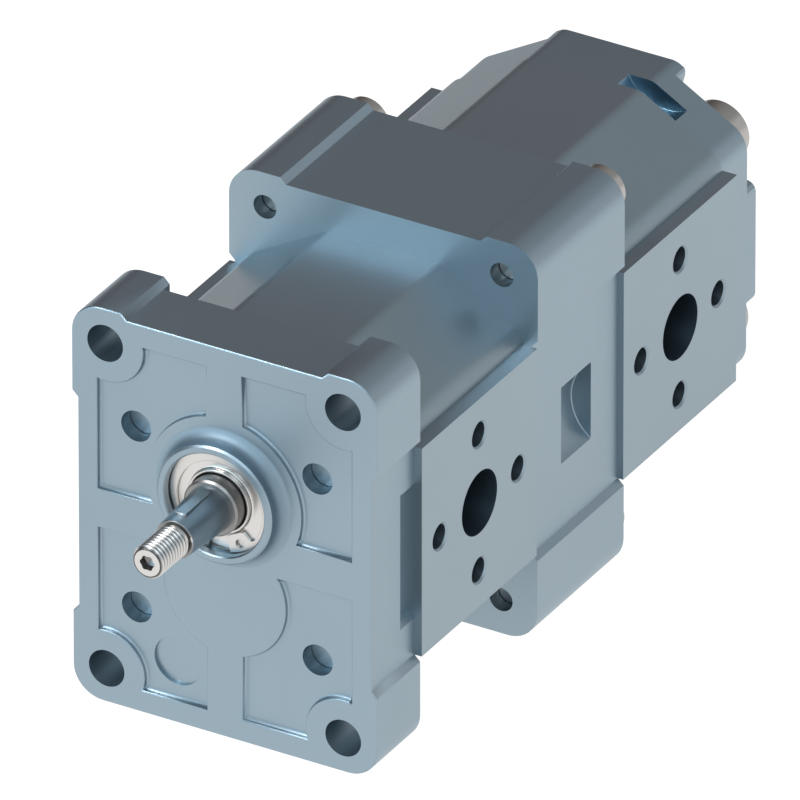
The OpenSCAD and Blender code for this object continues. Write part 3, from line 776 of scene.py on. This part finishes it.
@dataclass
class DriveShaft:
    """The drive shaft with its ground taper, key and cut thread."""

    end_y: float = -29.0
    thread_back_y: float = -19.6
    taper_end_y: float = -18.8
    taper_start_y: float = -5.45
    journal_end_y: float = 18.0
    core_r: float = 2.8
    root_r: float = 2.95
    crest_r: float = 3.5
    end_r: float = 3.0
    pitch: float = 1.0
    crest_share: float = 0.2
    pitch_steps: int = 14
    turn_steps: int = 96
    shoulder: float = 0.25
    key_edge: float = 0.15
    key_highlight_facing: float = 0.35
    merge_mm: float = 0.005
    sliver_mm: float = 0.001
    centre_r: float = 1.65
    centre_in_r: float = 1.42
    centre_floor_r: float = 1.0
    centre_slack: float = 0.05
    centre_lobes: int = 6
    centre_reach: float = 5.0
    centre_share: float = 0.6
    centre_edge: float = 0.1

    def body(self, pump: PackedPump) -> bpy.types.Object:
        """Copies the shaft, takes its threaded end down to a core and shapes its centre.

        Args:
            pump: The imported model.

        Returns:
            The shaft without its thread.
        """
        shaft = pump.copy_of("drive_shaft")
        centre_limit = self.centre_r + self.centre_slack
        for vert in shaft.data.vertices:
            place = vert.co / MM
            radius = off_axis(place)
            depth = place.y - self.end_y
            if radius < centre_limit and 0 < depth < self.centre_reach:
                vert.co.y = (self.end_y + self.centre_share * depth) * MM
            share = 1.0
            if place.y < self.thread_back_y + STATION_SLACK and radius > self.core_r:
                share = self.core_r / radius
            elif self.centre_floor_r < radius < centre_limit and place.y < self.thread_back_y:
                turn = math.atan2(place.z, place.x)
                lobe = (1 + math.cos(self.centre_lobes * turn)) / 2
                share = (self.centre_in_r + (self.centre_r - self.centre_in_r) * lobe) / radius
            vert.co.x *= share
            vert.co.z *= share
        mesh = bmesh.new()
        mesh.from_mesh(shaft.data)
        bmesh.ops.remove_doubles(mesh, verts=mesh.verts, dist=self.merge_mm * MM)
        bmesh.ops.dissolve_degenerate(mesh, edges=mesh.edges, dist=self.sliver_mm * MM)
        mesh.to_mesh(shaft.data)
        mesh.free()
        return shaft

    def thread_radius(self, y: float, share: float) -> float:
        """Gives the thread's radius at one place.

        Args:
            y: The station along the shaft, in millimetres.
            share: The share of a turn round it.

        Returns:
            The radius in millimetres.
        """
        phase = (y / self.pitch - share) % 1
        height = min(1.0, (1 - abs(2 * phase - 1)) * (1 + self.crest_share))
        limit = min(self.crest_r, self.end_r + y - self.end_y)
        return min(limit, self.root_r + (self.crest_r - self.root_r) * height)

    def thread(self) -> bpy.types.Object:
        """Cuts the thread as a sleeve that stands on the core.

        Returns:
            The threaded sleeve.
        """
        length = self.thread_back_y - self.end_y
        count = round(length / self.pitch * self.pitch_steps)
        shares = [i / self.turn_steps for i in range(self.turn_steps)]
        core = [self.core_r] * self.turn_steps
        rings = [(self.end_y, core)]
        for j in range(count + 1):
            y = self.end_y + length * j / count
            rings.append((y, [self.thread_radius(y, share) for share in shares]))
        rings.append((self.thread_back_y, core))
        mesh = bmesh.new()
        join_rows(mesh, [[mesh.verts.new(around(radius, y, share))
                          for radius, share in zip(radii, shares)] for y, radii in rings])
        return link_mesh(mesh, "cut_thread")

    def edge_width(self, edge: bmesh.types.BMEdge) -> float:
        """Rounds the shoulder at the small end of the taper.

        Args:
            edge: An edge of the shaft.

        Returns:
            The fillet's width in millimetres.
        """
        outer = off_axis(middle_mm(edge)) > self.crest_r
        return self.shoulder if outer and at_station(edge, self.taper_end_y) else 0.0

    def face_finish(self, face: bpy.types.MeshPolygon) -> int:
        """Picks the slate finish on the taper, and the darker one with painted shade on journal and
        centre.

        Args:
            face: A face of the shaft.

        Returns:
            0 for bright steel, 1 for the taper, 2 for the journal and the centre, both in painted
            shade.
        """
        place = face.center / MM
        if off_axis(place) < self.centre_r and place.y > self.end_y + self.centre_edge:
            return 2
        if place.y < self.taper_end_y + self.shoulder:
            return 0
        if place.y < self.taper_start_y:
            return 1
        return 2 if place.y < self.journal_end_y else 0

    def build(self, pump: PackedPump) -> None:
        """Builds the shaft, its thread and its key.

        Args:
            pump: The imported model.
        """
        shaft = self.body(pump)
        fillet(shaft, self.edge_width)
        pump.stand_in(shaft, "drive_shaft", [BRIGHT_STEEL, TAPER_STEEL, JOURNAL_STEEL_SHADE],
                      self.face_finish)
        thread = self.thread()
        fillet(thread, crisp, sharp_turn=SMOOTH_TURN)
        thread.data.materials.append(THREAD_STEEL_GROOVE_SHADE.material())
        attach(thread, pump.body_of("drive_shaft"))
        LOG.info("cut %s on the shaft", thread.name)
        key = pump.copy_of("shaft_key")
        fillet(key, lambda edge: self.key_edge, segments=2)
        # The key's faces that turn towards the front take bright steel, a painted highlight.
        pump.stand_in(key, "shaft_key", [TAPER_STEEL, BRIGHT_STEEL],
                      lambda face: int(face.normal.y < -self.key_highlight_facing))


@dataclass
class GearTrain:
    """The gears, the coupling and the bearing blocks inside the housings."""

    def build(self, pump: PackedPump) -> None:
        """Dresses every piece inside the housings.

        Args:
            pump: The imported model.
        """
        pump.dress(BRIGHT_STEEL, "front_idler_gear", "rear_drive_gear", "rear_idler_gear")
        pump.dress(TAPER_STEEL, "coupling")
        pump.dress(BEARING_ALLOY, "front_cover_bearing", "front_inner_bearing",
                   "rear_inner_bearing", "rear_cover_bearing")
        pump.dress(LINER_BRONZE, "bearing_liners")
        pump.dress(BLACK_RUBBER, "balance_seals", "housing_seals", "partition_seal", "pilot_seal")


@dataclass
class Fasteners:
    """Tie bolts, flange screws and dowels."""

    def build(self, pump: PackedPump) -> None:
        """Dresses the fasteners.

        Args:
            pump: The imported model.
        """
        # The front tie bolts take painted shade and a painted blue reflection.
        pump.dress(BOLT_END_SHADE, "front_tie_bolts")
        pump.dress(BOLT_STEEL, "rear_tie_bolts", "flange_screws")
        pump.dress(BRIGHT_STEEL, "dowels")


@dataclass
class Lamp:
    """A wide, soft lamp far from the pump."""

    name: str
    towards: tuple[float, float, float]
    strength: float
    colour: Colour
    spread: float

    def hang(self) -> None:
        """Adds the lamp to the scene."""
        data = bpy.data.lights.new(self.name, "SUN")
        data.energy = self.strength
        data.color = self.colour
        data.angle = math.radians(self.spread)
        lamp = bpy.data.objects.new(self.name, data)
        lamp.rotation_mode = "QUATERNION"
        lamp.rotation_quaternion = Vector(self.towards).to_track_quat("Z", "Y")
        bpy.context.collection.objects.link(lamp)


@dataclass
class SoftSky:
    """A sky whose colours run into each other between four sides, at the horizon and high up."""

    low: tuple[Colour, ...]
    high: tuple[Colour, ...]
    reach: float = 0.7
    top: float = 0.8

    def share(self, tree: bpy.types.NodeTree, value: bpy.types.NodeSocket, low: float,
              high: float) -> bpy.types.NodeSocket:
        """Turns one part of a direction into a share from 0 to 1.

        Args:
            tree: The sky's node tree.
            value: The direction's part along one axis.
            low: Where the share is 0.
            high: Where the share is 1.

        Returns:
            The share.
        """
        spread = tree.nodes.new("ShaderNodeMapRange")
        spread.inputs["From Min"].default_value = low
        spread.inputs["From Max"].default_value = high
        tree.links.new(value, spread.inputs["Value"])
        return spread.outputs["Result"]

    def blend(self, tree: bpy.types.NodeTree, share: bpy.types.NodeSocket,
              near: Colour | bpy.types.NodeSocket,
              far: Colour | bpy.types.NodeSocket) -> bpy.types.NodeSocket:
        """Runs one colour into another.

        Args:
            tree: The sky's node tree.
            share: The share of the far colour.
            near: The colour where the share is 0, or what gives it.
            far: The colour where the share is 1, or what gives it.

        Returns:
            The blended colour.
        """
        mix = tree.nodes.new("ShaderNodeMixRGB")
        tree.links.new(share, mix.inputs["Fac"])
        for socket, colour in ((mix.inputs["Color1"], near), (mix.inputs["Color2"], far)):
            if isinstance(colour, bpy.types.NodeSocket):
                tree.links.new(colour, socket)
            else:
                socket.default_value = (*colour, 1)
        return mix.outputs["Color"]

    def hang(self) -> None:
        """Sets the sky as the scene's world."""
        world = bpy.data.worlds.new("studio")
        bpy.context.scene.world = world
        world.use_nodes = True
        tree = world.node_tree
        place = tree.nodes.new("ShaderNodeTexCoord")
        split = tree.nodes.new("ShaderNodeSeparateXYZ")
        tree.links.new(place.outputs["Generated"], split.inputs["Vector"])
        across = self.share(tree, split.outputs["X"], -self.reach, self.reach)
        along = self.share(tree, split.outputs["Y"], -self.reach, self.reach)
        height = self.share(tree, split.outputs["Z"], 0, self.top)
        levels = []
        for front_left, front_right, back_left, back_right in (self.low, self.high):
            front = self.blend(tree, across, front_left, front_right)
            back = self.blend(tree, across, back_left, back_right)
            levels.append(self.blend(tree, along, front, back))
        sky = self.blend(tree, height, *levels)
        tree.links.new(sky, tree.nodes["Background"].inputs["Color"])


@dataclass
class Studio:
    """Floor, light and camera."""

    azimuth: float = 30.06006
    elevation: float = 30.10786
    half_field: float = 0.64
    right_mm: float = 33.518
    up_mm: float = 18.446
    back_mm: float = 6825.953
    sensor_mm: float = 36.0
    clip_m: tuple[float, float] = (0.1, 30.0)
    floor_y_mm: float = 70.0
    floor_z_mm: float = -53.2
    floor_half_m: float = 6.0
    floor_grey: float = 0.8
    floor_roughness: float = 0.9
    floor_white: float = 1.2
    floor_share: float = 0.84
    sky: SoftSky = field(default_factory=lambda: SoftSky(
        low=((0.02, 0.02, 0.04), (0.81, 0.93, 1.02), (0.03, 0.03, 0.03), (0.07, 0.04, 0.03)),
        high=((0.02, 0.02, 0.03), (0.23, 0.33, 0.40), (0.30, 0.24, 0.24), (0.68, 0.75, 0.775))))
    lamps: tuple[Lamp, ...] = (
        Lamp("front_lamp", (-0.433, -0.75, 0.1), 1.08, (0.52, 0.83, 1.0), 40),
        Lamp("side_lamp", (1.0, -0.1, 0.15), 0.46, (1.0, 0.95, 0.90), 50),
        Lamp("top_left_lamp", (-0.433, -0.487, 0.737), 1.88, (0.94, 0.975, 1.0), 25),
        Lamp("top_right_lamp", (0.25, -0.617, 0.672), 0.59, (0.82, 0.92, 1.0), 30),
        Lamp("back_lamp", (0.433, 0.75, 0.1), 0.245, (0.95, 0.96, 1.0), 40))

    def camera(self) -> None:
        """Makes the long-lens camera at the photograph's viewing angle."""
        a, e = math.radians(self.azimuth), math.radians(self.elevation)
        back = Vector((math.sin(a) * math.cos(e), -math.cos(a) * math.cos(e), math.sin(e)))
        right = Vector((math.cos(a), math.sin(a), 0))
        up = back.cross(right)
        data = bpy.data.cameras.new("camera")
        data.sensor_width = self.sensor_mm
        data.lens = self.sensor_mm / 2 / math.tan(math.radians(self.half_field))
        data.clip_start, data.clip_end = self.clip_m
        camera = bpy.data.objects.new("camera", data)
        bpy.context.collection.objects.link(camera)
        camera.location = (right * self.right_mm + up * self.up_mm + back * self.back_mm) * MM
        camera.rotation_mode = "QUATERNION"
        camera.rotation_quaternion = (-back).to_track_quat("-Z", "Y")
        bpy.context.scene.camera = camera

    def floor_material(self) -> bpy.types.Material:
        """Makes the floor's finish, which shows white and keeps the pump's shadow.

        Returns:
            The material.
        """
        made = bpy.data.materials.new("white_floor")
        made.use_nodes = True
        nodes, links = made.node_tree.nodes, made.node_tree.links
        shader = nodes["Principled BSDF"]
        shader.inputs["Base Color"].default_value = (*[self.floor_grey] * 3, 1)
        shader.inputs["Roughness"].default_value = self.floor_roughness
        glow = nodes.new("ShaderNodeEmission")
        glow.inputs["Color"].default_value = (1, 1, 1, 1)
        glow.inputs["Strength"].default_value = self.floor_white
        paths = nodes.new("ShaderNodeLightPath")
        seen = paths.outputs["Is Camera Ray"]
        for kind in ("Is Glossy Ray", "Is Transmission Ray"):
            either = nodes.new("ShaderNodeMath")
            either.operation = "MAXIMUM"
            links.new(seen, either.inputs[0])
            links.new(paths.outputs[kind], either.inputs[1])
            seen = either.outputs[0]
        share = nodes.new("ShaderNodeMath")
        share.operation = "MULTIPLY"
        share.inputs[1].default_value = self.floor_share
        links.new(seen, share.inputs[0])
        mix = nodes.new("ShaderNodeMixShader")
        links.new(share.outputs[0], mix.inputs["Fac"])
        links.new(shader.outputs["BSDF"], mix.inputs[1])
        links.new(glow.outputs["Emission"], mix.inputs[2])
        links.new(mix.outputs["Shader"], nodes["Material Output"].inputs["Surface"])
        return made

    def floor(self) -> None:
        """Lays the pale floor under the flanges."""
        mesh = bmesh.new()
        bmesh.ops.create_grid(mesh, x_segments=1, y_segments=1, size=self.floor_half_m)
        floor = link_mesh(mesh, "floor")
        floor.location = (0, self.floor_y_mm * MM, self.floor_z_mm * MM)
        floor.data.materials.append(self.floor_material())

    def build(self) -> None:
        """Sets up the camera, the floor and the light."""
        bpy.context.scene.view_settings.view_transform = "Standard"
        self.camera()
        self.floor()
        self.sky.hang()
        for lamp in self.lamps:
            lamp.hang()
        LOG.info("set up the studio")


def main() -> None:
    """Builds the studio and every sub-assembly of the pump."""
    logging.basicConfig(level=logging.INFO, format="%(name)s: %(message)s")
    pump = PackedPump(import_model())
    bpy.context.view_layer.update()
    Studio().build()
    for assembly in (FrontCover(), MiddleFlanges(), GearHousings(), RearCover(), ShaftSeal(),
                     DriveShaft(), GearTrain(), Fasteners()):
        assembly.build(pump)


if __name__ == "__main__":
    main()
